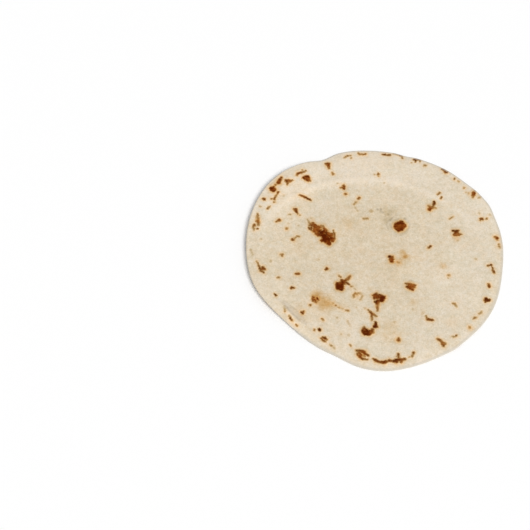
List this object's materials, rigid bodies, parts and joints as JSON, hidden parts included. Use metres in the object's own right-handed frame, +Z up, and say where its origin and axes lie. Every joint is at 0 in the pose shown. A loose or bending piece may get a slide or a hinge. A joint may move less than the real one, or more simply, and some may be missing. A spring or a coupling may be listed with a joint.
{
  "type": "tortilla",
  "caption": "Thin round soft wheat tortilla lying flat, with one side of its rim a little raised and low browned blisters on its face.",
  "frame": {"origin": "middle of the round's bounding box, at the height of the flat underside it rests on", "axes": "+Z up out of the browned upper face, +Y away from the viewer of the picture, +X to the right; the raised side of the rim is on the -X side"},
  "size_m": [0.202, 0.204, 0.0063],
  "materials": {
    "dough": "soft matte baked wheat dough, pale cream with dark brown toast marks"
  },
  "bodies": {
    "root": {"tortilla": "dough"}
  },
  "joints": []
}
